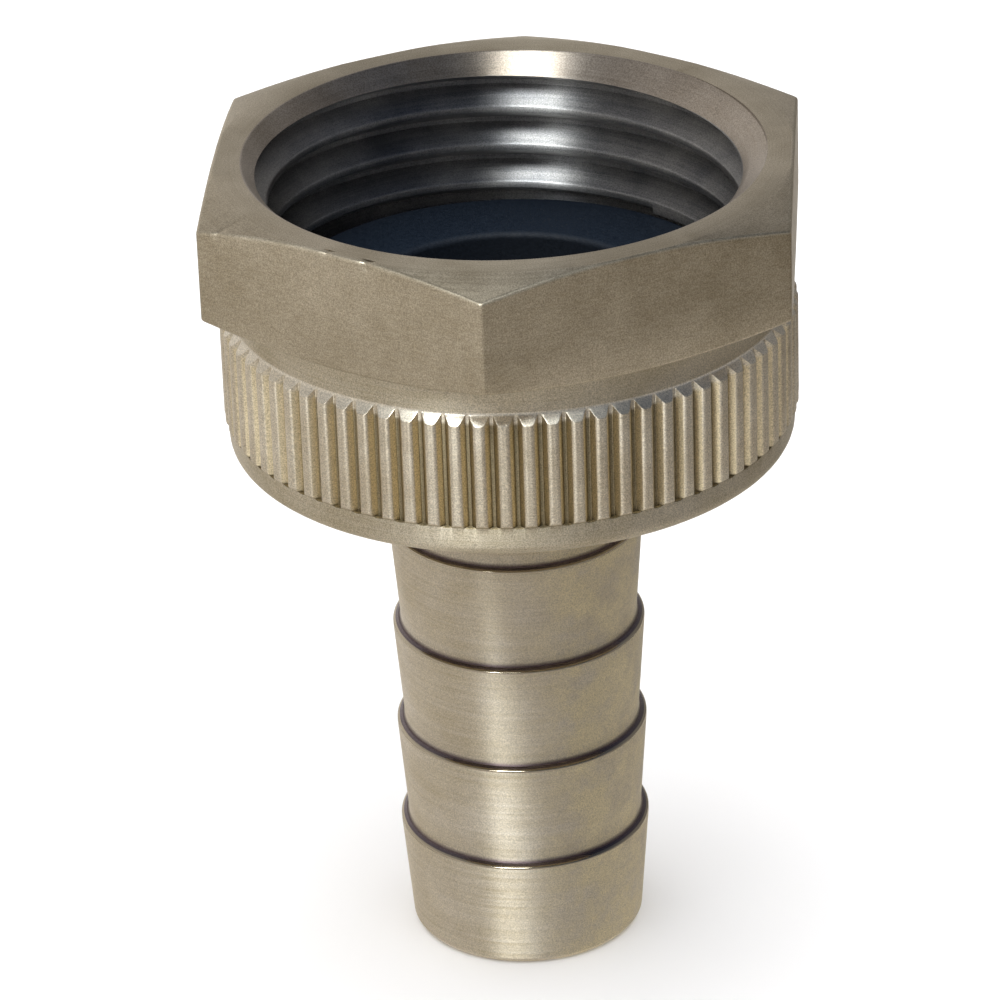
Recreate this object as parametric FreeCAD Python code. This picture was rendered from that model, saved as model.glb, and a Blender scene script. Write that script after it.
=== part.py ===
import FreeCAD, Part
import math
import os
from FreeCAD import Vector

# Swivel hose fitting: a barbed stem for 1/2 in hose, and a loose nut with a female 3/4-11.5 NH garden hose thread.
# Origin: centre of the stem's lower end face. +Z runs up through the stem into the mouth of the nut.
# All lengths are in millimetres.

# ---- overall heights ----
NUT_BOTTOM = 29.5
NUT_TOP = 45.5

# ---- hexagon ----
HEX_ACROSS_FLATS = 30.16          # 1-3/16 in
HEX_EDGE_ROUND = 0.25
HEX_TOP_CHAMFER_R = 15.1          # where the flat top face ends
HEX_TOP_CHAMFER_DROP = 0.7        # drop of the chamfer at the hexagon's corners
HEX_UNDER_Z = 39.1                # lower edge at the middle of each flat
HEX_UNDER_RISE = 0.75             # rise of the lower chamfer at the corners

# ---- collar and knurled skirt ----
COLLAR_R = 14.7
COLLAR_FILLET = 0.2
KNURL_CREST_R = 15.2
KNURL_TEETH = 76
KNURL_CREST_ANGLE = 2.79          # first crest, in degrees from -Y towards +X
KNURL_FLANK = [                   # (radius, half width) of a groove, from its floor out to the rounded crest
    (14.75, 0.10),
    (14.97, 0.16),
    (15.12, 0.31),
    (15.20, 0.46),
]
KNURL_FACET_Z = 37.0              # where the crests start to slope in to the collar
KNURL_GROOVE_END = 37.6
SKIRT_TOP = 31.2                  # lower end of the knurl
SKIRT_R = 15.0
SKIRT_ROUND = 0.8

# ---- hose thread, 3/4-11.5 NH, right hand ----
THREAD_PITCH = 25.4 / 11.5
THREAD_MINOR_R = 12.35
THREAD_MAJOR_R = 13.70
THREAD_ROOT_FLAT = 0.26
THREAD_HALF_ANGLE = 30.0
THREAD_CREST_Z = 42.53            # height of one thread crest ...
THREAD_CREST_ANGLE = 84.3         # ... at this angle from +X towards +Y
COUNTERSINK_R = 13.62

# ---- inside of the nut ----
RELIEF_R = 13.85                  # clear of the thread's roots
RELIEF_BOTTOM = 36.2
RELIEF_TOP = 37.45
CHAMBER_R = 12.9
FLOOR_TOP = 30.9
FLOOR_HOLE_R = 7.1
FLOOR_HOLE_CHAMFER = 0.3

# ---- stem ----
STEM_END_R = 6.08
STEM_END_CHAMFER_R = 6.32
STEM_END_CHAMFER = 0.3
BARB_CREST_R = 6.8
BARB_ROOT_R = 6.37
BARB_FIRST_Z = 6.2
BARB_PITCH = 6.02
BARB_COUNT = 4
BARB_LAND = 0.2                   # cylindrical land at each crest
BARB_SHOULDER = 0.25              # height of the step above each land
BARB_EDGE_ROUND = 0.08
BARB_ROOT_ROUND = 0.35            # hollow corner above each step
NECK_R = 6.46
FLANGE_R = 12.0
FLANGE_BOTTOM = 32.0
FLANGE_TOP = 34.0
FLANGE_EDGE = 0.3
BORE_R = 4.75
BORE_CHAMFER = 0.5

# ---- washer ----
WASHER_R = 12.7
WASHER_HOLE_R = 7.95
WASHER_BOTTOM = 34.05
WASHER_THICKNESS = 3.2
WASHER_EDGE_ROUND = 0.35

AXIS = Vector(0, 0, 1)
ORIGIN = Vector(0, 0, 0)


def turned(points):
    """Solid of revolution about Z of a closed (radius, z) outline."""
    corners = [Vector(r, 0, z) for r, z in points]
    outline = Part.makePolygon(corners + corners[:1])
    return Part.Face(outline).revolve(ORIGIN, AXIS, 360)


def bar(radius, bottom, top):
    """Cylinder on Z between two heights."""
    return Part.makeCylinder(radius, top - bottom, Vector(0, 0, bottom), AXIS)


def circle_edges(shape, rings):
    """The circular edges of a shape at the given (radius, z) rings."""
    found = []
    for edge in shape.Edges:
        if not isinstance(edge.Curve, Part.Circle):
            continue
        for radius, z in rings:
            same_radius = abs(edge.Curve.Radius - radius) < 0.01
            if same_radius and abs(edge.Curve.Center.z - z) < 0.01:
                found.append(edge)
    return found


def hexagon():
    """Hexagonal head with rounded upright edges, one corner towards -Y, chamfered above and below."""
    corner_r = HEX_ACROSS_FLATS / 2 / math.cos(math.radians(30))
    low = HEX_UNDER_Z - 1.0
    high = NUT_TOP + 1.0
    corners = []
    for k in range(7):
        angle = math.radians(60 * k - 90)
        corners.append(Vector(corner_r * math.cos(angle), corner_r * math.sin(angle), low))
    prism = Part.Face(Part.makePolygon(corners)).extrude(Vector(0, 0, high - low))
    upright = [e for e in prism.Edges if abs(e.Vertexes[0].Z - e.Vertexes[-1].Z) > 1.0]
    prism = prism.makeFillet(HEX_EDGE_ROUND, upright)
    flat_r = HEX_ACROSS_FLATS / 2
    envelope = turned([
        (0, HEX_UNDER_Z - 0.5),
        (COLLAR_R - 1.0, HEX_UNDER_Z - 0.5),
        (flat_r, HEX_UNDER_Z),
        (corner_r, HEX_UNDER_Z + HEX_UNDER_RISE),
        (corner_r, NUT_TOP - HEX_TOP_CHAMFER_DROP),
        (HEX_TOP_CHAMFER_R, NUT_TOP),
        (0, NUT_TOP),
    ])
    return prism.common(envelope)


def skirt_blank():
    """Collar and skirt as turned, before the knurl: smooth lower band, crest diameter, sloped shoulder, collar."""
    turn = math.radians(45)
    slope_r = COLLAR_R + COLLAR_FILLET * (1 - math.cos(turn))
    slope_z = KNURL_FACET_Z + KNURL_CREST_R - slope_r
    collar_z = slope_z + COLLAR_FILLET * math.sin(turn)
    middle = turn / 2
    on_arc = Vector(
        COLLAR_R + COLLAR_FILLET * (1 - math.cos(middle)), 0, collar_z - COLLAR_FILLET * math.sin(middle))
    crest_end = KNURL_CREST_R - SKIRT_R
    below = [
        Vector(0, 0, NUT_BOTTOM),
        Vector(SKIRT_R, 0, NUT_BOTTOM),
        Vector(SKIRT_R, 0, SKIRT_TOP),
        Vector(KNURL_CREST_R, 0, SKIRT_TOP + crest_end),
        Vector(KNURL_CREST_R, 0, KNURL_FACET_Z),
        Vector(slope_r, 0, slope_z),
    ]
    above = [
        Vector(COLLAR_R, 0, collar_z),
        Vector(COLLAR_R, 0, HEX_UNDER_Z + 1.0),
        Vector(0, 0, HEX_UNDER_Z + 1.0),
        Vector(0, 0, NUT_BOTTOM),
    ]
    edges = Part.makePolygon(below).Edges
    edges.append(Part.Arc(below[-1], on_arc, above[0]).toShape())
    edges += Part.makePolygon(above).Edges
    blank = Part.Face(Part.Wire(edges)).revolve(ORIGIN, AXIS, 360)
    return blank.makeFillet(SKIRT_ROUND, circle_edges(blank, [(SKIRT_R, NUT_BOTTOM)]))


def knurl_grooves():
    """The straight grooves of the knurl, evenly spaced round the skirt."""
    outside = (KNURL_CREST_R + 0.3, KNURL_FLANK[-1][1] + 0.1)
    side = KNURL_FLANK + [outside]
    right = [Vector(r, half, SKIRT_TOP) for r, half in side]
    left = [Vector(r, -half, SKIRT_TOP) for r, half in reversed(side)]
    section = Part.makePolygon(right + left + right[:1])
    groove = Part.Face(section).extrude(Vector(0, 0, KNURL_GROOVE_END - SKIRT_TOP))
    spacing = 360.0 / KNURL_TEETH
    first = KNURL_CREST_ANGLE - 90 + spacing / 2
    grooves = []
    for k in range(KNURL_TEETH):
        copy = groove.copy()
        copy.rotate(ORIGIN, AXIS, first + k * spacing)
        grooves.append(copy)
    return grooves


def thread_groove():
    """Helical groove of the hose thread, from the relief at its foot out through the mouth."""
    inner = THREAD_MINOR_R - 0.3
    half_root = THREAD_ROOT_FLAT / 2
    half_mouth = half_root + (THREAD_MAJOR_R - inner) * math.tan(math.radians(THREAD_HALF_ANGLE))
    start_z = (RELIEF_BOTTOM + RELIEF_TOP) / 2
    height = NUT_TOP + THREAD_PITCH / 2 - start_z
    path = Part.makeLongHelix(THREAD_PITCH, height, THREAD_MINOR_R)
    section = Part.makePolygon([
        Vector(inner, 0, -half_mouth),
        Vector(THREAD_MAJOR_R, 0, -half_root),
        Vector(THREAD_MAJOR_R, 0, half_root),
        Vector(inner, 0, half_mouth),
        Vector(inner, 0, -half_mouth),
    ])
    groove = Part.Wire(path.Edges).makePipeShell([section], True, True)
    groove_z = THREAD_CREST_Z + THREAD_PITCH / 2
    turn = THREAD_CREST_ANGLE + (start_z - groove_z) / THREAD_PITCH * 360
    place = FreeCAD.Matrix()
    place.rotateZ(math.radians(turn))
    place.move(Vector(0, 0, start_z))
    return groove.transformed(place)


def swivel_nut():
    """Hexagon, collar and knurled skirt in one piece, hollow, threaded inside."""
    countersink_depth = COUNTERSINK_R - THREAD_MINOR_R
    hollow = turned([
        (0, NUT_BOTTOM - 1.0),
        (FLOOR_HOLE_R + FLOOR_HOLE_CHAMFER, NUT_BOTTOM - 1.0),
        (FLOOR_HOLE_R + FLOOR_HOLE_CHAMFER, NUT_BOTTOM),
        (FLOOR_HOLE_R, NUT_BOTTOM + FLOOR_HOLE_CHAMFER),
        (FLOOR_HOLE_R, FLOOR_TOP),
        (CHAMBER_R, FLOOR_TOP),
        (CHAMBER_R, RELIEF_BOTTOM),
        (RELIEF_R, RELIEF_BOTTOM),
        (RELIEF_R, RELIEF_TOP),
        (THREAD_MINOR_R, RELIEF_TOP),
        (THREAD_MINOR_R, NUT_TOP - countersink_depth),
        (COUNTERSINK_R, NUT_TOP),
        (COUNTERSINK_R, NUT_TOP + 1.0),
        (0, NUT_TOP + 1.0),
    ])
    skirt = skirt_blank().cut(knurl_grooves())
    body = skirt.fuse(hexagon()).removeSplitter()
    return body.cut(hollow).cut(thread_groove())


def barbed_stem():
    """Turned stem: hose barbs below, a plain neck through the nut's floor, and a flange inside the nut."""
    outline = [
        (0, 0),
        (STEM_END_R, 0),
        (STEM_END_CHAMFER_R, STEM_END_CHAMFER),
    ]
    crest_edges = []
    root_edges = []
    for k in range(BARB_COUNT):
        crest_z = BARB_FIRST_Z + k * BARB_PITCH
        last = k == BARB_COUNT - 1
        outline.append((BARB_CREST_R, crest_z - BARB_LAND / 2))
        outline.append((BARB_CREST_R, crest_z + BARB_LAND / 2))
        root = (NECK_R if last else BARB_ROOT_R, crest_z + BARB_LAND / 2 + BARB_SHOULDER)
        outline.append(root)
        crest_edges.append((BARB_CREST_R, crest_z + BARB_LAND / 2))
        root_edges.append(root)
    outline += [
        (NECK_R, FLANGE_BOTTOM),
        (FLANGE_R - FLANGE_EDGE, FLANGE_BOTTOM),
        (FLANGE_R, FLANGE_BOTTOM + FLANGE_EDGE),
        (FLANGE_R, FLANGE_TOP - FLANGE_EDGE),
        (FLANGE_R - FLANGE_EDGE, FLANGE_TOP),
        (0, FLANGE_TOP),
    ]
    solid = turned(outline)
    solid = solid.makeFillet(BARB_EDGE_ROUND, circle_edges(solid, crest_edges))
    solid = solid.makeFillet(BARB_ROOT_ROUND, circle_edges(solid, root_edges))
    bore = turned([
        (0, -1.0),
        (BORE_R + BORE_CHAMFER, -1.0),
        (BORE_R + BORE_CHAMFER, 0),
        (BORE_R, BORE_CHAMFER),
        (BORE_R, FLANGE_TOP - BORE_CHAMFER),
        (BORE_R + BORE_CHAMFER, FLANGE_TOP),
        (BORE_R + BORE_CHAMFER, FLANGE_TOP + 1.0),
        (0, FLANGE_TOP + 1.0),
    ])
    return solid.cut(bore)


def hose_washer():
    """Rubber washer that lies on the flange, too wide to pass the thread."""
    top = WASHER_BOTTOM + WASHER_THICKNESS
    ring = bar(WASHER_R, WASHER_BOTTOM, top).cut(bar(WASHER_HOLE_R, WASHER_BOTTOM - 1.0, top + 1.0))
    rims = [(r, z) for r in (WASHER_R, WASHER_HOLE_R) for z in (WASHER_BOTTOM, top)]
    return ring.makeFillet(WASHER_EDGE_ROUND, circle_edges(ring, rims))


def write(name, shape):
    """Write one piece as a single solid to its own STEP file."""
    solid = shape.Solids[0] if len(shape.Solids) == 1 else shape
    if len(shape.Solids) != 1 or not solid.isValid():
        raise RuntimeError(f"{name}: {len(shape.Solids)} solids, valid {shape.isValid()}")
    solid.exportStep(os.path.join("parts", f"{name}.step"))
    print(f"{name}: volume {solid.Volume:.1f} mm3, faces {len(solid.Faces)}")


os.makedirs("parts", exist_ok=True)
write("barbed_stem", barbed_stem())
write("hose_washer", hose_washer())
write("swivel_nut", swivel_nut())
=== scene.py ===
import bmesh
import bpy
import math
from mathutils import Matrix, Vector


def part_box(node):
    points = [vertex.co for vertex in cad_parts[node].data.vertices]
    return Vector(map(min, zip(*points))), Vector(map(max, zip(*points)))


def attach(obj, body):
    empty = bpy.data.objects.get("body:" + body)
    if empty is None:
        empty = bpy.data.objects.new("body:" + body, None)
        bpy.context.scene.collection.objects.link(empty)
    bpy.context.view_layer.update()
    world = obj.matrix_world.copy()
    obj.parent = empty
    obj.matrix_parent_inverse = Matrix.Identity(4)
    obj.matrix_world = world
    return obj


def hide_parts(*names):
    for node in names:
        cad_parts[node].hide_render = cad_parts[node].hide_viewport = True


# Swivel hose fitting in stainless steel: barbed stem, loose threaded nut, black rubber washer.
# Outlines are in millimetres, (radius, height), and are scaled to metres when a mesh is made.

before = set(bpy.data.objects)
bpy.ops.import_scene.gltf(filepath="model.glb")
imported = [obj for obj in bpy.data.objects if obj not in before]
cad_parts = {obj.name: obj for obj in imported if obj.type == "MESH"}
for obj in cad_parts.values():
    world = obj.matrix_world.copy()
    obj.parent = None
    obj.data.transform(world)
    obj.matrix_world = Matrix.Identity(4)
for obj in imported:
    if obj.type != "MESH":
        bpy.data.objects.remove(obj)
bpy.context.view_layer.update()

MM = 0.001
TAU = 2 * math.pi

NUT_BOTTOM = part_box("swivel_nut")[0][2] / MM
NUT_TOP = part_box("swivel_nut")[1][2] / MM
FLANGE_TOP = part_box("barbed_stem")[1][2] / MM
WASHER_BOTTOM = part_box("hose_washer")[0][2] / MM
WASHER_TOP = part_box("hose_washer")[1][2] / MM

# ---- stem ----
BORE_R = 4.75
BORE_CHAMFER = 0.5
TIP_FACE_R = 6.08
TIP_R = 6.32
TIP_BEVEL = 0.3
BARBS = 4
BARB_PITCH = 6.02
BARB_RIM_Z = 6.3                  # height of the lowest rim
BARB_R = 6.8
BARB_LAND = 0.2                   # upright stretch under a rim
BARB_ROOT_R = 6.37
BARB_SHOULDER = 0.25              # height of the step in to the root
RIM_ROUND = 0.13
NECK_R = 6.46
FLANGE_R = 12.0
FLANGE_THICKNESS = 2.0
FLANGE_EDGE = 0.3

# ---- washer ----
WASHER_HOLE_R = 7.95
WASHER_R = 12.7
WASHER_EDGE_ROUND = 0.35

# ---- hexagon ----
HEX_FLAT_R = 15.08                # centre to the middle of a flat
HEX_EDGE_ROUND = 0.25
HEX_TOP_CHAMFER_R = 15.1
HEX_TOP_SLOPE = 0.7 / 2.313
HEX_UNDER_Z = NUT_BOTTOM + 9.6
HEX_UNDER_SLOPE = 0.75 / 2.333
HEX_EDGE_BREAK = 0.15
HALF_SIDE = math.radians(30)      # half the angle of one side of the hexagon
HEX_EDGE_CENTRE_R = (HEX_FLAT_R - HEX_EDGE_ROUND) / math.cos(HALF_SIDE)
HEX_EDGE_ANGLE = math.atan2(HEX_EDGE_ROUND * math.sin(HALF_SIDE),
                            HEX_EDGE_CENTRE_R + HEX_EDGE_ROUND * math.cos(HALF_SIDE))

# ---- knurled skirt ----
COLLAR_R = 14.7
COLLAR_FILLET = 0.2
CREST_R = 15.2
ROOT_R = 14.75
GROOVE_FLOOR = 0.09               # these three are measured sideways from a groove's centre
FLANK_TOP = 0.335
CREST_START = 0.47
FLANK_TOP_R = 15.13
TEETH = 76
FIRST_CREST = math.radians(2.79)
FACET_Z = NUT_BOTTOM + 7.5
SKIRT_TOP = NUT_BOTTOM + 1.7
SKIRT_R = 15.0
SKIRT_ROUND = 0.8
LEDGE_ROUND = 0.05

# ---- inside of the nut ----
PITCH = 25.4 / 11.5
MINOR_R = 12.35
MAJOR_R = 13.70
ROOT_FLAT = 0.26
THREAD_CREST_Z = NUT_BOTTOM + 13.03
THREAD_CREST_ANGLE = math.radians(84.3)
COUNTERSINK_R = 13.62
RELIEF_R = 13.85
RELIEF_BOTTOM = NUT_BOTTOM + 6.7
RELIEF_TOP = NUT_BOTTOM + 7.95
CHAMBER_R = 12.9
FLOOR_TOP = NUT_BOTTOM + 1.4
FLOOR_HOLE_R = 7.1
FLOOR_HOLE_CHAMFER = 0.3


# ---------------------------------------------------------------- mesh helpers

def arc_between(before, corner, after, radius, steps):
    """Points of the fillet that rounds one corner of an outline."""
    a = Vector(before) - Vector(corner)
    b = Vector(after) - Vector(corner)
    if radius <= 0 or a.length < 1e-6 or b.length < 1e-6:
        return [tuple(corner)]
    angle = a.angle(b)
    reach = radius / math.tan(angle / 2)
    room = 0.48 * min(a.length, b.length)      # a fillet takes at most about half of each side
    if reach > room:
        radius *= room / reach
        reach = room
    a.normalize()
    b.normalize()
    centre = Vector(corner) + (a + b).normalized() * (radius / math.sin(angle / 2))
    start = Vector(corner) + a * reach - centre
    end = Vector(corner) + b * reach - centre
    turn = math.pi - angle
    if start.x * end.y - start.y * end.x < 0:
        turn = -turn
    points = []
    for k in range(steps + 1):
        t = turn * k / steps
        x = start.x * math.cos(t) - start.y * math.sin(t)
        y = start.x * math.sin(t) + start.y * math.cos(t)
        points.append((centre.x + x, centre.y + y))
    return points


def rounded(outline, steps=3, closed=True):
    """Outline of (r, z, fillet radius, zone) corners as points with fillets, and the zone of each point."""
    points = []
    zones = []
    n = len(outline)
    for k, (r, z, radius, zone) in enumerate(outline):
        ends = not closed and k in (0, n - 1)
        before = outline[k - 1][:2]
        after = outline[(k + 1) % n][:2]
        piece = [(r, z)] if ends else arc_between(before, (r, z), after, radius, steps)
        points += piece
        zones += [zone] * len(piece)
    return points, zones


def make_object(name, vertices, faces, zones, materials):
    """Mesh object from millimetre vertices, with one material slot index for each face."""
    mesh = bpy.data.meshes.new(name)
    mesh.from_pydata([(x * MM, y * MM, z * MM) for x, y, z in vertices], [], faces)
    for material in materials:
        mesh.materials.append(material)
    mesh.polygons.foreach_set("material_index", zones)
    piece = bpy.data.objects.new(name, mesh)
    bpy.context.scene.collection.objects.link(piece)
    return piece


def around(columns, profiles, row_zones):
    """Closed ring of quads from a closed (r, z) profile for each column angle, from -Y towards +X."""
    rows = len(row_zones)
    vertices = []
    for angle, profile in zip(columns, profiles):
        for r, z in profile:
            vertices.append((r * math.sin(angle), -r * math.cos(angle), z))
    faces = []
    zones = []
    count = len(columns)
    for j in range(count):
        a = j * rows
        b = (j + 1) % count * rows
        for i in range(rows):
            k = (i + 1) % rows
            faces.append((a + i, b + i, b + k, a + k))
            zones.append(row_zones[i])
    return vertices, faces, zones


def lathe(name, outline, materials, segments=288, steps=3):
    """Turned ring from a closed outline."""
    points, zones = rounded(outline, steps)
    columns = [TAU * k / segments for k in range(segments)]
    vertices, faces, face_zones = around(columns, [points] * segments, zones)
    return make_object(name, vertices, faces, face_zones, materials)


def clean(piece, sharp_degrees=34):
    """Merge coincident vertices, point the normals outwards, and shade smooth with crisp edges."""
    mesh = piece.data
    work = bmesh.new()
    work.from_mesh(mesh)
    bmesh.ops.remove_doubles(work, verts=work.verts, dist=2e-7)
    bmesh.ops.dissolve_degenerate(work, edges=work.edges, dist=1e-8)
    bmesh.ops.recalc_face_normals(work, faces=work.faces)
    work.to_mesh(mesh)
    work.free()
    mesh.shade_smooth()
    mesh.set_sharp_from_angle(angle=math.radians(sharp_degrees))


def weighted(piece):
    """Normals weighted by face area, so that flats stay flat next to small fillets."""
    modifier = piece.modifiers.new("normals", "WEIGHTED_NORMAL")
    modifier.keep_sharp = True
    modifier.weight = 50


# ---------------------------------------------------------------- materials

class Nodes:
    """Short way to add and link shader nodes."""

    def __init__(self, name):
        self.material = bpy.data.materials.new(name)
        self.material.use_nodes = True
        self.tree = self.material.node_tree
        self.tree.nodes.clear()
        self.coords = self.add("ShaderNodeTexCoord").outputs["Object"]

    def add(self, kind, **settings):
        node = self.tree.nodes.new(kind)
        for key, value in settings.items():
            setattr(node, key, value)
        return node

    def link(self, source, target):
        self.tree.links.new(source, target)

    def math(self, operation, *values):
        node = self.add("ShaderNodeMath", operation=operation)
        for k, value in enumerate(values):
            if isinstance(value, (int, float)):
                node.inputs[k].default_value = value
            else:
                self.link(value, node.inputs[k])
        return node.outputs[0]

    def vector(self, x, y, z):
        node = self.add("ShaderNodeCombineXYZ")
        for k, value in enumerate((x, y, z)):
            if isinstance(value, (int, float)):
                node.inputs[k].default_value = value
            else:
                self.link(value, node.inputs[k])
        return node.outputs[0]

    def noise(self, vector, w=None, scale=1.0, detail=2.0, roughness=0.5):
        node = self.add("ShaderNodeTexNoise")
        node.noise_dimensions = "3D" if w is None else "4D"
        node.inputs["Scale"].default_value = scale
        node.inputs["Detail"].default_value = detail
        node.inputs["Roughness"].default_value = roughness
        self.link(vector, node.inputs["Vector"])
        if w is not None:
            self.link(w, node.inputs["W"])
        return node.outputs["Fac"]

    def ramp(self, value, low, high, colour_low, colour_high):
        node = self.add("ShaderNodeValToRGB")
        node.color_ramp.elements[0].position = low
        node.color_ramp.elements[0].color = (*colour_low, 1.0)
        node.color_ramp.elements[1].position = high
        node.color_ramp.elements[1].color = (*colour_high, 1.0)
        self.link(value, node.inputs["Fac"])
        return node.outputs["Color"]

    def spread(self, value, low, high, to_low, to_high):
        node = self.add("ShaderNodeMapRange")
        for key, number in zip(("From Min", "From Max", "To Min", "To Max"), (low, high, to_low, to_high)):
            node.inputs[key].default_value = number
        self.link(value, node.inputs["Value"])
        return node.outputs["Result"]

    def blend(self, factor, first, second):
        """Mix of two colours."""
        node = self.add("ShaderNodeMix", data_type="RGBA")
        self.link(factor, node.inputs["Factor"])
        for socket, colour in ((node.inputs[6], first), (node.inputs[7], second)):
            if hasattr(colour, "node"):
                self.link(colour, socket)
            else:
                socket.default_value = (*colour, 1.0)
        return node.outputs[2]

    def scaled(self, colour, factor):
        node = self.add("ShaderNodeVectorMath", operation="SCALE")
        self.link(colour, node.inputs[0])
        self.link(factor, node.inputs["Scale"])
        return node.outputs[0]

    def cylinder(self):
        """Millimetre coordinates: x, y, z and the distance from the Z axis."""
        split = self.add("ShaderNodeSeparateXYZ")
        self.link(self.coords, split.inputs[0])
        x, y, z = (self.math("MULTIPLY", split.outputs[k], 1.0 / MM) for k in range(3))
        radius = self.math("SQRT", self.math("ADD", self.math("MULTIPLY", x, x), self.math("MULTIPLY", y, y)))
        return x, y, z, radius

    def surface(self, **sockets):
        shader = self.add("ShaderNodeBsdfPrincipled")
        for key, value in sockets.items():
            socket = shader.inputs[key.replace("_", " ")]
            if hasattr(value, "node"):
                self.link(value, socket)
            else:
                socket.default_value = value
        output = self.add("ShaderNodeOutputMaterial")
        self.link(shader.outputs[0], output.inputs[0])
        return shader

    def bump(self, height, distance, strength=1.0):
        node = self.add("ShaderNodeBump")
        node.inputs["Strength"].default_value = strength
        node.inputs["Distance"].default_value = distance
        self.link(height, node.inputs["Height"])
        return node.outputs["Normal"]

    def tangent(self):
        return self.add("ShaderNodeTangent", direction_type="RADIAL", axis="Z").outputs[0]


def speckled(n, colour, place, amount):
    """Colour with a fine bright and dark grain."""
    grain = n.noise(place, scale=14.0, detail=1.0, roughness=0.6)
    return n.scaled(colour, n.spread(grain, 0.3, 0.7, 1.0 - amount, 1.0 + amount))


def turned_steel(name, dark, light, rough=(0.26, 0.40), lines=14.0, depth=0.000004, anisotropic=0.75,
                 grain=0.28, brushed=0.35, groove_shade=None, stain=None, shoulder=None):
    """Turned stainless steel: tool lines round the axis, mottled tone and polish, a stain, grooves painted
    darker as shade, and a dark band painted above each barb rim as shade and dark reflection.
    """
    n = Nodes(name)
    x, y, z, radius = n.cylinder()
    place = n.vector(x, y, z)
    fine_r, fine_z = (n.math("MULTIPLY", value, lines) for value in (radius, z))
    slow_x, slow_y = (n.math("MULTIPLY", value, 0.12) for value in (x, y))
    tool = n.noise(n.vector(fine_r, fine_z, slow_x), w=slow_y, detail=3.0, roughness=0.65)
    patch = n.noise(place, scale=0.22, detail=4.0, roughness=0.6)
    tone = n.math("ADD", n.math("MULTIPLY", patch, 1.0 - brushed), n.math("MULTIPLY", tool, brushed))
    colour = n.ramp(tone, 0.36, 0.64, dark, light)
    # Knurl grooves: the floors, and the ledge at their lower ends, take the root colour and the flanks a
    # browner colour, as painted shade in the recesses; the crests and the facets keep the turned colour.
    if groove_shade:
        root, flank = groove_shade
        clear = n.math("MULTIPLY", n.spread(radius, ROOT_R + 0.005, ROOT_R + 0.05, 0.0, 1.0),
                       n.spread(z, SKIRT_TOP + 0.02, SKIRT_TOP + 0.12, 0.0, 1.0))
        sides = n.blend(clear, root, flank)
        on_crest = n.math("MAXIMUM", n.spread(radius, CREST_R - 0.16, CREST_R - 0.06, 0.0, 1.0),
                          n.spread(z, FACET_Z - 0.12, FACET_Z + 0.05, 0.0, 1.0))
        colour = n.blend(on_crest, sides, colour)
    if stain:
        mottle = n.noise(place, scale=0.5, detail=4.0, roughness=0.7)
        reach = n.math("MULTIPLY", n.spread(x, 0.8, 3.4, 0.15, 1.0), n.spread(mottle, 0.38, 0.60, 0.2, 1.0))
        colour = n.blend(reach, colour, stain)
    # Dark band just above each barb rim, blended in by height: painted shade and painted dark reflection;
    # below 3 mm it is left out.
    if shoulder:
        above = n.math("MODULO", n.math("ADD", z, BARB_PITCH * 2 - BARB_RIM_Z), BARB_PITCH)
        clear = n.math("MAXIMUM", n.spread(above, 0.20, 0.38, 0.0, 1.0), n.spread(z, 3.0, 3.1, 1.0, 0.0))
        colour = n.blend(clear, shoulder, colour)
    wear = n.math("ADD", n.math("MULTIPLY", tool, 0.6), n.math("MULTIPLY", patch, 0.4))
    polish = n.spread(wear, 0.35, 0.65, *rough)
    n.surface(Base_Color=speckled(n, colour, place, grain), Metallic=1.0, Roughness=polish,
              Anisotropic=anisotropic, Anisotropic_Rotation=0.25, Tangent=n.tangent(),
              Normal=n.bump(tool, depth))
    return n.material


def sawn_steel(name, dark, light):
    """Hexagon bar stock: drawn grain, softly mottled."""
    n = Nodes(name)
    x, y, z, _ = n.cylinder()
    place = n.vector(x, y, z)
    along = n.vector(n.math("MULTIPLY", x, 1.2), n.math("MULTIPLY", y, 1.2), n.math("MULTIPLY", z, 9.0))
    drawn = n.noise(along, detail=4.0, roughness=0.7)
    patch = n.noise(place, scale=0.16, detail=4.0, roughness=0.62)
    tone = n.math("ADD", n.math("MULTIPLY", patch, 0.6), n.math("MULTIPLY", drawn, 0.4))
    colour = n.ramp(tone, 0.36, 0.64, dark, light)
    polish = n.spread(tone, 0.35, 0.65, 0.36, 0.50)
    n.surface(Base_Color=speckled(n, colour, place, 0.28), Metallic=1.0, Roughness=polish,
              Normal=n.bump(drawn, 0.000006))
    return n.material


def rubber(name):
    """Dull rubber, blue-black, with fine pores."""
    n = Nodes(name)
    x, y, z, _ = n.cylinder()
    pores = n.noise(n.vector(x, y, z), scale=6.0, detail=3.0, roughness=0.6)
    colour = n.ramp(pores, 0.3, 0.7, (0.002, 0.0055, 0.012), (0.004, 0.009, 0.018))
    rough = n.spread(pores, 0.3, 0.7, 0.55, 0.75)
    n.surface(Base_Color=colour, Roughness=rough, Specular_IOR_Level=0.3, Normal=n.bump(pores, 0.00003))
    return n.material


def plain_floor(name):
    """Pale matt floor."""
    n = Nodes(name)
    speck = n.noise(n.coords, scale=40.0, detail=2.0)
    colour = n.ramp(speck, 0.3, 0.7, (0.93, 0.93, 0.93), (0.95, 0.95, 0.95))
    n.surface(Base_Color=colour, Roughness=0.9, Specular_IOR_Level=0.1)
    return n.material


def reflected_floor(name):
    """Tone that the metal mirrors from the floor: pale, and a warmer grey to the right of the object."""
    n = Nodes(name)
    x, _, _, _ = n.cylinder()
    to_right = n.spread(x, 48.0, 80.0, 0.0, 1.0)
    n.surface(Base_Color=n.ramp(to_right, 0.0, 1.0, (0.86, 0.84, 0.81), (0.26, 0.235, 0.20)), Roughness=0.9)
    return n.material


# The shoulder colour is a dark band painted above each barb rim as shade and dark reflection.
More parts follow.
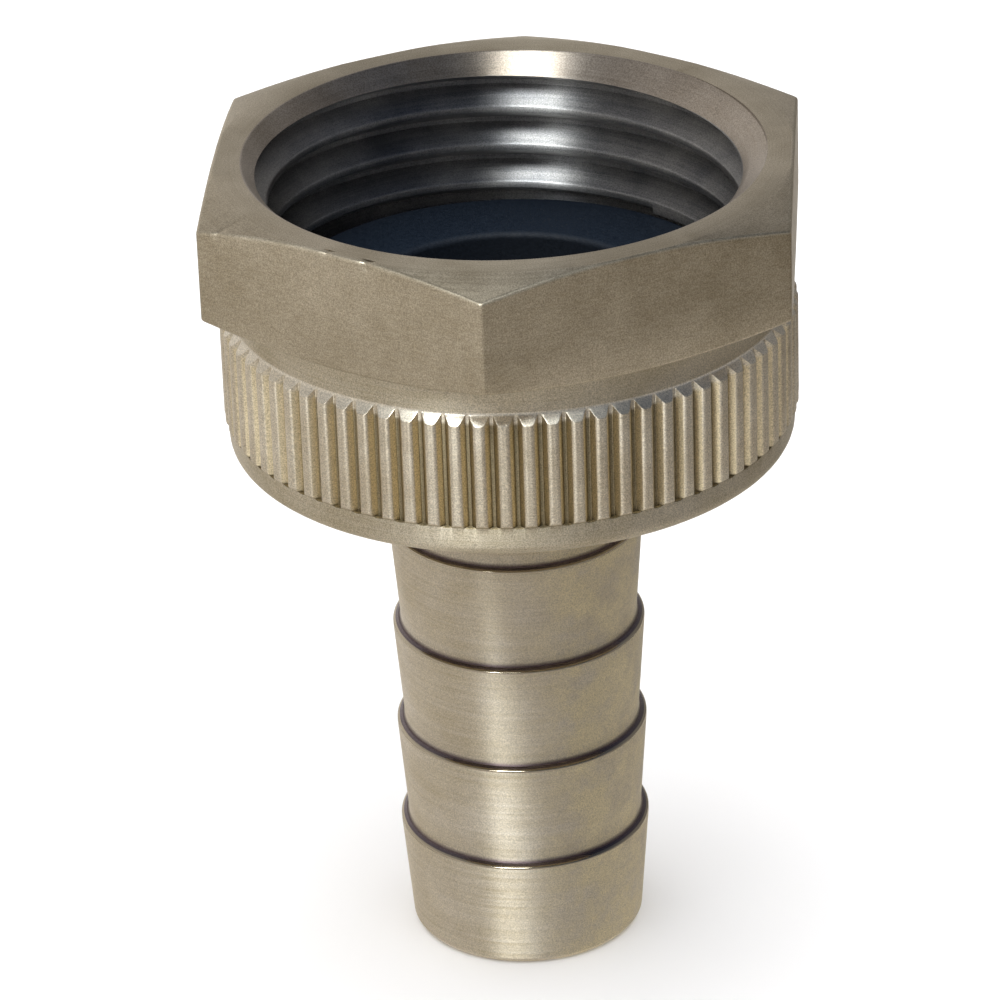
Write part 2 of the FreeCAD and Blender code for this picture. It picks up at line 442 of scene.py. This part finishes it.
STEEL = turned_steel("steel_turned", (0.50, 0.43, 0.31), (0.69, 0.63, 0.535), rough=(0.46, 0.56), lines=5.0,
                     depth=0.000022, anisotropic=0.95, grain=0.20, brushed=0.45, stain=(0.73, 0.64, 0.44),
                     shoulder=(0.14, 0.105, 0.11))
SKIRT = turned_steel("steel_skirt", (0.42, 0.36, 0.25), (0.60, 0.54, 0.43), rough=(0.42, 0.52), lines=10.0,
                     depth=0.000006, anisotropic=0.9)
# Steel of the shoulder faces above each barb rim, painted near black as shade and dark reflection.
SHOULDER_SHADED = turned_steel("steel_shoulder_painted_dark", (0.10, 0.08, 0.09), (0.16, 0.13, 0.13), rough=(0.15, 0.22),
                    anisotropic=0.0)
RIM = turned_steel("steel_rim", (0.33, 0.28, 0.205), (0.44, 0.385, 0.29), rough=(0.09, 0.13),
                   anisotropic=0.0, grain=0.05)
FACET = turned_steel("steel_facet", (0.50, 0.45, 0.36), (0.66, 0.60, 0.50), rough=(0.28, 0.36),
                     anisotropic=0.0)
# Root and flank colours of the grooves are painted shade, dark brown in the recesses.
KNURL = turned_steel("steel_knurled", (0.48, 0.41, 0.30), (0.68, 0.62, 0.51), rough=(0.38, 0.48),
                     depth=0.000003, anisotropic=0.85, groove_shade=((0.22, 0.18, 0.11), (0.60, 0.51, 0.345)))
HEX = sawn_steel("steel_hexagon", (0.34, 0.29, 0.205), (0.49, 0.43, 0.33))
TOP = turned_steel("steel_faced", (0.31, 0.26, 0.18), (0.46, 0.40, 0.305), rough=(0.36, 0.46), lines=8.0,
                   depth=0.000006, anisotropic=0.6)
COUNTERSINK = turned_steel("steel_countersink", (0.285, 0.24, 0.19), (0.41, 0.36, 0.305), rough=(0.34, 0.42),
                           lines=6.0, depth=0.000010, anisotropic=0.9)
# Steel of the thread, the nut's hollow and the stem's bore, painted darker and bluer than the outside steel
# as shade inside the hollow.
INSIDE_SHADED = turned_steel("steel_thread_painted_dark", (0.17, 0.172, 0.182), (0.36, 0.35, 0.335), rough=(0.34, 0.42),
                      lines=8.0, anisotropic=0.95)
RUBBER = rubber("rubber_black")


# ---------------------------------------------------------------- stem

OUTSIDE, BORE, SHOULDER, RIM_ZONE = range(4)


def stem_outline():
    """(radius, height, fillet, zone) corners: up the outside, over the flange, down the bore."""
    outline = [
        (BORE_R + BORE_CHAMFER, 0.0, 0.06, OUTSIDE), (TIP_FACE_R, 0.0, 0.08, OUTSIDE),
        (TIP_R, TIP_BEVEL, 0.15, OUTSIDE),
    ]
    step = 0.3                    # share of a shoulder's depth and height that its first facet takes
    for k in range(BARBS):
        z = BARB_RIM_Z + BARB_PITCH * k
        root = NECK_R if k == BARBS - 1 else BARB_ROOT_R
        outline += [
            (BARB_R, z - BARB_LAND, 0.6, OUTSIDE), (BARB_R, z, RIM_ROUND, RIM_ZONE),
            (BARB_R - (BARB_R - root) * step, z + BARB_SHOULDER * step, 0, SHOULDER),
            (root, z + BARB_SHOULDER, 0.35, OUTSIDE),
        ]
    under = FLANGE_TOP - FLANGE_THICKNESS
    outline += [
        (NECK_R, under, 0.1, OUTSIDE), (FLANGE_R - FLANGE_EDGE, under, 0.06, OUTSIDE),
        (FLANGE_R, under + FLANGE_EDGE, 0.1, OUTSIDE), (FLANGE_R, FLANGE_TOP - FLANGE_EDGE, 0.1, BORE),
        (FLANGE_R - FLANGE_EDGE, FLANGE_TOP, 0.06, BORE), (BORE_R + BORE_CHAMFER, FLANGE_TOP, 0.06, BORE),
        (BORE_R, FLANGE_TOP - BORE_CHAMFER, 0.1, BORE), (BORE_R, BORE_CHAMFER, 0.1, OUTSIDE),
    ]
    return outline


# The flange's upper edge and top and the bore take the steel painted dark as shade; the shoulders above the
# rims take the steel painted dark as shade and dark reflection.
stem = lathe("stem_body", stem_outline(), [STEEL, INSIDE_SHADED, SHOULDER_SHADED, RIM], steps=5)
clean(stem)
weighted(stem)
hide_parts("barbed_stem")
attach(stem, "stem")


# ---------------------------------------------------------------- washer

washer_corners = ((WASHER_HOLE_R, WASHER_BOTTOM), (WASHER_R, WASHER_BOTTOM),
                  (WASHER_R, WASHER_TOP), (WASHER_HOLE_R, WASHER_TOP))
washer = lathe("washer_ring", [(r, z, WASHER_EDGE_ROUND, 0) for r, z in washer_corners], [RUBBER],
               segments=192, steps=6)
clean(washer)
weighted(washer)
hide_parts("hose_washer")
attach(washer, "washer")


# ---------------------------------------------------------------- nut

def half_tooth():
    """(angle from the groove's centre, radius), from the middle of a groove to the middle of a crest."""
    half_pitch = TAU / TEETH / 2 * CREST_R
    corners = [
        (0.0, ROOT_R, 0.0, 0), (GROOVE_FLOOR, ROOT_R, 0.05, 0), (FLANK_TOP, FLANK_TOP_R, 0.30, 0),
        (CREST_START, CREST_R, 0.30, 0), (half_pitch, CREST_R, 0.0, 0),
    ]
    points, _ = rounded(corners, 3, closed=False)
    return [(math.atan2(side, r), math.hypot(side, r) if r < CREST_R else CREST_R) for side, r in points]


HALF_TOOTH = half_tooth()


def knurl_radius(angle):
    """Radius of the knurled skirt at an angle from -Y towards +X."""
    spacing = TAU / TEETH
    away = abs((angle - FIRST_CREST) / spacing % 1.0 - 0.5) * spacing
    for (a0, r0), (a1, r1) in zip(HALF_TOOTH, HALF_TOOTH[1:]):
        if away <= a1:
            return r0 + (r1 - r0) * (away - a0) / (a1 - a0)
    return CREST_R


def hex_radius(angle):
    """Radius of the hexagon with rounded upright edges."""
    off = (angle + HALF_SIDE) % (2 * HALF_SIDE) - HALF_SIDE
    if abs(off) < HEX_EDGE_ANGLE:
        inward = HEX_EDGE_CENTRE_R * math.sin(off)
        return HEX_EDGE_CENTRE_R * math.cos(off) + math.sqrt(HEX_EDGE_ROUND ** 2 - inward ** 2)
    return HEX_FLAT_R / math.cos(HALF_SIDE - abs(off))


SLOPE_R = COLLAR_R + COLLAR_FILLET * (1 - math.cos(math.radians(45)))
SLOPE_Z = FACET_Z + CREST_R - SLOPE_R
COLLAR_Z = SLOPE_Z + COLLAR_FILLET * math.sin(math.radians(45))


def shoulder_radius(z):
    """Radius of the sloped shoulder and fillet between the crests and the collar."""
    if z <= SLOPE_Z:
        return CREST_R - (z - FACET_Z)
    drop = min(COLLAR_FILLET, max(0.0, COLLAR_Z - z))
    return COLLAR_R + COLLAR_FILLET - math.sqrt(COLLAR_FILLET ** 2 - drop ** 2)


def shoulder_height(r):
    """Height where the shoulder has this radius."""
    if r >= SLOPE_R:
        return FACET_Z + CREST_R - r
    inner = COLLAR_R + COLLAR_FILLET - max(r, COLLAR_R)
    return COLLAR_Z - math.sqrt(max(0.0, COLLAR_FILLET ** 2 - inner ** 2))


def soften(a, corner, b, steps=3):
    """Rounded corner as a quadratic curve from a to b."""
    points = []
    for k in range(steps + 1):
        t = k / steps
        points.append(tuple((1 - t) ** 2 * a[i] + 2 * t * (1 - t) * corner[i] + t * t * b[i] for i in (0, 1)))
    return points


TURNED, TEETH_ZONE, FLATS, FACED, THREAD, CAVITY, SINK, SLOPE = range(8)

# small dents on the hexagon's top edge: degrees from -Y, height, radius, depth
DENTS = (
    (-32.3, NUT_TOP - 0.10, 0.22, 0.09),
    (-23.2, NUT_TOP - 0.16, 0.30, 0.13),
    (-56.2, NUT_TOP - 0.62, 0.20, 0.10),
)


def dented(angle, r, z):
    """A point of the hexagon's edge, pushed in where a dent reaches it."""
    for degrees, height, radius, depth in DENTS:
        aside = ((angle - math.radians(degrees) + math.pi) % TAU - math.pi) * r
        far = (aside * aside + (z - height) ** 2) / (radius * radius)
        if far < 6.0:
            push = depth * math.exp(-far)
            r -= push
            z -= push * 0.6
    return r, z


def nut_profile(angle):
    """Closed (r, z) outline of the nut's wall at one angle, with the zone of the surface above each point."""
    rk = knurl_radius(angle)
    rh = hex_radius(angle)
    out = []

    def put(points, zone):
        out.extend((r, z, zone) for r, z in points)

    # bottom face and lower rounding
    put([(FLOOR_HOLE_R + FLOOR_HOLE_CHAMFER, NUT_BOTTOM)], TURNED)
    for k in range(9):
        t = math.radians(90) * k / 8
        inward = SKIRT_ROUND * (1 - math.sin(t))
        put([(SKIRT_R - inward, NUT_BOTTOM + SKIRT_ROUND * (1 - math.cos(t)))], TURNED)
    # smooth band, ledge at the groove ends, lower ends of the crests
    ledge = min(LEDGE_ROUND, max(0.0, SKIRT_R - rk))
    put(soften((SKIRT_R, SKIRT_TOP - ledge), (SKIRT_R, SKIRT_TOP), (SKIRT_R - ledge, SKIRT_TOP)), TEETH_ZONE)
    put([(min(rk, SKIRT_R), SKIRT_TOP)], TEETH_ZONE)
    over = max(0.0, rk - SKIRT_R)
    low = SKIRT_TOP + over
    bend = 0.06 * over / (CREST_R - SKIRT_R)
    put(soften((rk - bend, low - bend), (rk, low), (rk, low + bend), 2), TEETH_ZONE)
    # knurl up to the sloped shoulder
    meet = shoulder_height(rk)
    bend = 0.03 * min(1.0, max(0.0, (rk - SLOPE_R) / (CREST_R - SLOPE_R)))
    put(soften((rk, meet - bend), (rk, meet), (shoulder_radius(meet + bend), meet + bend), 2), TEETH_ZONE)
    put([(shoulder_radius(meet + bend), meet + bend)], SLOPE)
    for k in range(1, 9):
        z = max(meet + bend, FACET_Z + (COLLAR_Z - FACET_Z) * k / 8)
        put([(shoulder_radius(z), z)], SLOPE if k < 8 else TURNED)
    # collar and the underside of the hexagon
    corner_z = HEX_UNDER_Z - 0.5 * (HEX_FLAT_R - COLLAR_R) / (HEX_FLAT_R - COLLAR_R + 1.0)
    put(soften((COLLAR_R, corner_z - 0.12), (COLLAR_R, corner_z), (COLLAR_R + 0.12, corner_z + 0.04)), TURNED)
    b = HEX_EDGE_BREAK
    under = HEX_UNDER_Z + (rh - HEX_FLAT_R) * HEX_UNDER_SLOPE
    put(soften((rh - b, under - b * HEX_UNDER_SLOPE), (rh, under), (rh, under + b)), FLATS)
    # flat or corner of the hexagon, and its top edge

    def top_z(r):
        return NUT_TOP - max(0.0, r - HEX_TOP_CHAMFER_R) * HEX_TOP_SLOPE

    top = top_z(rh)
    put([(rh, under + (top - under) / 3), (rh, under + (top - under) * 2 / 3)], FLATS)
    put([dented(angle, rh, top - b - drop) for drop in (0.45, 0.30, 0.16, 0.06)], FLATS)
    put([dented(angle, *point) for point in soften((rh, top - b), (rh, top), (rh - b, top_z(rh - b)))], FLATS)
    put([dented(angle, rh - b - step, top_z(rh - b - step)) for step in (0.05, 0.14, 0.26)], FACED)
    put([(min(rh - b - 0.26, HEX_TOP_CHAMFER_R), NUT_TOP)], FACED)
    # countersink, thread crests, relief, chamber, floor, hole
    lip = (COUNTERSINK_R - 0.05, NUT_TOP - 0.05)
    put(soften((COUNTERSINK_R + 0.06, NUT_TOP), (COUNTERSINK_R, NUT_TOP), lip), SINK)
    sink = NUT_TOP - (COUNTERSINK_R - MINOR_R)
    put(soften((MINOR_R + 0.05, sink + 0.05), (MINOR_R, sink), (MINOR_R, sink - 0.07), 2), THREAD)
    put([(MINOR_R, RELIEF_TOP)], CAVITY)
    put([(RELIEF_R, RELIEF_TOP), (RELIEF_R, RELIEF_BOTTOM)], CAVITY)
    put([(CHAMBER_R, RELIEF_BOTTOM), (CHAMBER_R, FLOOR_TOP)], CAVITY)
    put([(FLOOR_HOLE_R, FLOOR_TOP), (FLOOR_HOLE_R, NUT_BOTTOM + FLOOR_HOLE_CHAMFER)], CAVITY)
    return out


def nut_columns():
    """Column angles: every bend of every tooth, and the rounded corners of the hexagon."""
    spacing = TAU / TEETH
    angles = set()
    for k in range(TEETH):
        middle = FIRST_CREST + (k + 0.5) * spacing
        for away, _ in HALF_TOOTH:
            angles.add(round((middle + away) % TAU, 6))
            angles.add(round((middle - away) % TAU, 6))
    for k in range(6):
        for part in (-1.0, -0.5, 0.0, 0.5, 1.0):
            angles.add(round((k * TAU / 6 + part * HEX_EDGE_ANGLE) % TAU, 6))
    ordered = sorted(angles)
    kept = [ordered[0]]
    for angle in ordered[1:]:
        if angle - kept[-1] > 3e-5:
            kept.append(angle)
    return kept


def thread_cutter():
    """Helical groove as a closed solid, with its lips eased where they meet the thread's crests."""
    inner = MINOR_R - 0.3
    slope = math.tan(math.radians(30))
    half = ROOT_FLAT / 2
    at_crest = half + (MAJOR_R - MINOR_R) * slope
    side = [(MAJOR_R, half), (MINOR_R + 0.09, at_crest - 0.09 * slope), (MINOR_R + 0.025, at_crest + 0.01),
            (MINOR_R, at_crest + 0.05), (inner, at_crest + 0.12)]
    section = [(r, w) for r, w in side] + [(r, -w) for r, w in reversed(side)]
    groove_z = THREAD_CREST_Z + PITCH / 2
    start = (RELIEF_BOTTOM + RELIEF_TOP) / 2
    end = NUT_TOP + PITCH / 2
    per_turn = 240
    steps = int(round((end - start) / PITCH * per_turn))
    vertices = []
    for k in range(steps + 1):
        z = start + (end - start) * k / steps
        turn = THREAD_CREST_ANGLE + (z - groove_z) / PITCH * TAU
        for r, w in section:
            vertices.append((r * math.cos(turn), r * math.sin(turn), z + w))
    n = len(section)
    faces = [tuple(range(n)), tuple(reversed(range(steps * n, steps * n + n)))]
    for k in range(steps):
        for i in range(n):
            j = (i + 1) % n
            faces.append((k * n + i, (k + 1) * n + i, (k + 1) * n + j, k * n + j))
    return vertices, faces


def build_nut():
    """Nut with its thread cut, and the countersink's material on what the cut leaves near the mouth."""
    columns = nut_columns()
    profiles = [nut_profile(angle) for angle in columns]
    zones = [zone for _, _, zone in profiles[0]]
    vertices, faces, face_zones = around(columns, [[(r, z) for r, z, _ in p] for p in profiles], zones)
    # The thread and the hollow under it take the steel painted dark as shade inside the nut.
    materials = [SKIRT, KNURL, HEX, TOP, INSIDE_SHADED, INSIDE_SHADED, COUNTERSINK, FACET]
    nut = make_object("nut_body", vertices, faces, face_zones, materials)
    clean(nut)
    vertices, faces = thread_cutter()
    cutter = make_object("thread_cutter", vertices, faces, [THREAD] * len(faces), materials)
    clean(cutter)
    cut = nut.modifiers.new("thread", "BOOLEAN")
    cut.operation = "DIFFERENCE"
    cut.solver = "EXACT"
    cut.object = cutter
    view = bpy.context.evaluated_depsgraph_get()
    mesh = bpy.data.meshes.new_from_object(nut.evaluated_get(view))
    nut.modifiers.clear()
    nut.data = mesh
    bpy.data.objects.remove(cutter)
    for face in mesh.polygons:
        depth = 1.12 if face.normal.z > 0.6 else 0.95
        mouth = NUT_TOP - depth
        if face.material_index == THREAD and face.center.z > mouth * MM:
            face.material_index = SINK
    clean(nut)
    return nut


nut = build_nut()
weighted(nut)
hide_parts("swivel_nut")
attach(nut, "nut")


# ---------------------------------------------------------------- floor, light, camera

FLOOR_HALF = 1.5


def add_floor(name, z, material):
    """Square floor, which is not part of the object."""
    corners = ((-1, -1), (1, -1), (1, 1), (-1, 1))
    mesh = bpy.data.meshes.new(name)
    mesh.from_pydata([(x * FLOOR_HALF, y * FLOOR_HALF, z) for x, y in corners], [], [(0, 1, 2, 3)])
    mesh.materials.append(material)
    plane = bpy.data.objects.new(name, mesh)
    bpy.context.scene.collection.objects.link(plane)
    return plane


floor = add_floor("floor", -0.00003, plain_floor("floor_plain"))
floor.visible_glossy = False
# what the steel mirrors in place of the floor
card = add_floor("floor_card", -0.00006, reflected_floor("floor_reflected"))
card.visible_camera = False
card.visible_diffuse = False
card.visible_shadow = False

CAMERA_TURN = math.radians(4.716)     # from -Y towards +X
CAMERA_RISE = math.radians(27.018)
CAMERA_ROLL = math.radians(-1.992)
CAMERA_DISTANCE = 0.29266
CAMERA_LENS = 196.96
AIM_SIDE = -0.000803
AIM_Z = 0.025209


def direction(turn, rise):
    """Unit vector at an angle from -Y towards +X and a rise above the floor."""
    return Vector((math.sin(turn) * math.cos(rise), -math.cos(turn) * math.cos(rise), math.sin(rise)))


def add_camera():
    """Camera at the photograph's angle, with its slight roll."""
    back = direction(CAMERA_TURN, CAMERA_RISE)
    right = Vector((math.cos(CAMERA_TURN), math.sin(CAMERA_TURN), 0))
    up = back.cross(right)
    right_rolled = right * math.cos(CAMERA_ROLL) + up * math.sin(CAMERA_ROLL)
    up_rolled = up * math.cos(CAMERA_ROLL) - right * math.sin(CAMERA_ROLL)
    place = right * AIM_SIDE + Vector((0, 0, AIM_Z)) + back * CAMERA_DISTANCE
    data = bpy.data.cameras.new("camera")
    data.lens = CAMERA_LENS
    data.sensor_width = 36.0
    data.clip_start = 0.01
    data.clip_end = 20.0
    camera = bpy.data.objects.new("camera", data)
    bpy.context.scene.collection.objects.link(camera)
    matrix = Matrix((right_rolled, up_rolled, back)).transposed().to_4x4()
    matrix.translation = place
    camera.matrix_world = matrix
    bpy.context.scene.camera = camera


def add_light(name, turn, rise, distance, width, height, watts, colour=(1, 1, 1), mirrored=True):
    """Rectangular lamp that faces the nut, at an angle from -Y towards +X."""
    data = bpy.data.lights.new(name, "AREA")
    data.shape = "RECTANGLE"
    data.size = width
    data.size_y = height
    data.energy = watts
    data.color = colour
    lamp = bpy.data.objects.new(name, data)
    aim = Vector((0, 0, 0.03))
    out = direction(math.radians(turn), math.radians(rise))
    lamp.location = aim + out * distance
    lamp.rotation_euler = out.to_track_quat("Z", "Y").to_euler()
    lamp.visible_camera = False
    lamp.visible_glossy = mirrored
    lamp.visible_diffuse = not mirrored
    bpy.context.scene.collection.objects.link(lamp)


add_camera()
add_light("key", -13, 62, 0.75, 0.22, 0.26, 3.8, (0.93, 0.98, 1.0))
add_light("strip", -23, 43, 0.70, 0.06, 0.36, 1.1, (0.92, 0.97, 1.0))
add_light("fill", 0, 88, 1.6, 2.4, 2.4, 48.0, (1.0, 0.995, 0.99), mirrored=False)

SKY_SIDES = (0.98, 0.95, 0.92)
SKY_OVERHEAD = (0.022, 0.045, 0.095)
SKY_GLOW = (1.0, 1.0, 1.0)            # only at the pole, in the last of the steps that a ramp is rendered in
SKY_POLE = Vector((0.36, -0.12, 0.92)).normalized()
DIM_SIDE = (0.50, 0.866, 0.0)         # towards the back right
DIM_RANGE = (0.70, 0.98, 1.0, 0.40)


def add_world():
    """Sky graded from pale to dark overhead, with a small glow at its pole, and dimmer at the back right."""
    world = bpy.data.worlds.new("studio")
    world.use_nodes = True
    tree = world.node_tree
    tree.nodes.clear()
    coords = tree.nodes.new("ShaderNodeTexCoord")
    fade = tree.nodes.new("ShaderNodeValToRGB")
    stops = fade.color_ramp.elements
    stops.new(1.0)
    for stop, colour in zip(stops, (SKY_SIDES, SKY_OVERHEAD, SKY_GLOW)):
        stop.color = (*colour, 1.0)
    lift, aside = (tree.nodes.new("ShaderNodeVectorMath") for _ in range(2))
    for node, towards in ((lift, SKY_POLE), (aside, DIM_SIDE)):
        node.operation = "DOT_PRODUCT"
        node.inputs[1].default_value = towards
        tree.links.new(coords.outputs["Generated"], node.inputs[0])
    dimmer = tree.nodes.new("ShaderNodeMapRange")
    for key, number in zip(("From Min", "From Max", "To Min", "To Max"), DIM_RANGE):
        dimmer.inputs[key].default_value = number
    shade = tree.nodes.new("ShaderNodeBackground")
    output = tree.nodes.new("ShaderNodeOutputWorld")
    tree.links.new(lift.outputs["Value"], fade.inputs["Fac"])
    tree.links.new(aside.outputs["Value"], dimmer.inputs["Value"])
    tree.links.new(fade.outputs["Color"], shade.inputs["Color"])
    tree.links.new(dimmer.outputs["Result"], shade.inputs["Strength"])
    tree.links.new(shade.outputs[0], output.inputs[0])
    bpy.context.scene.world = world


add_world()
bpy.context.scene.view_settings.view_transform = "Standard"
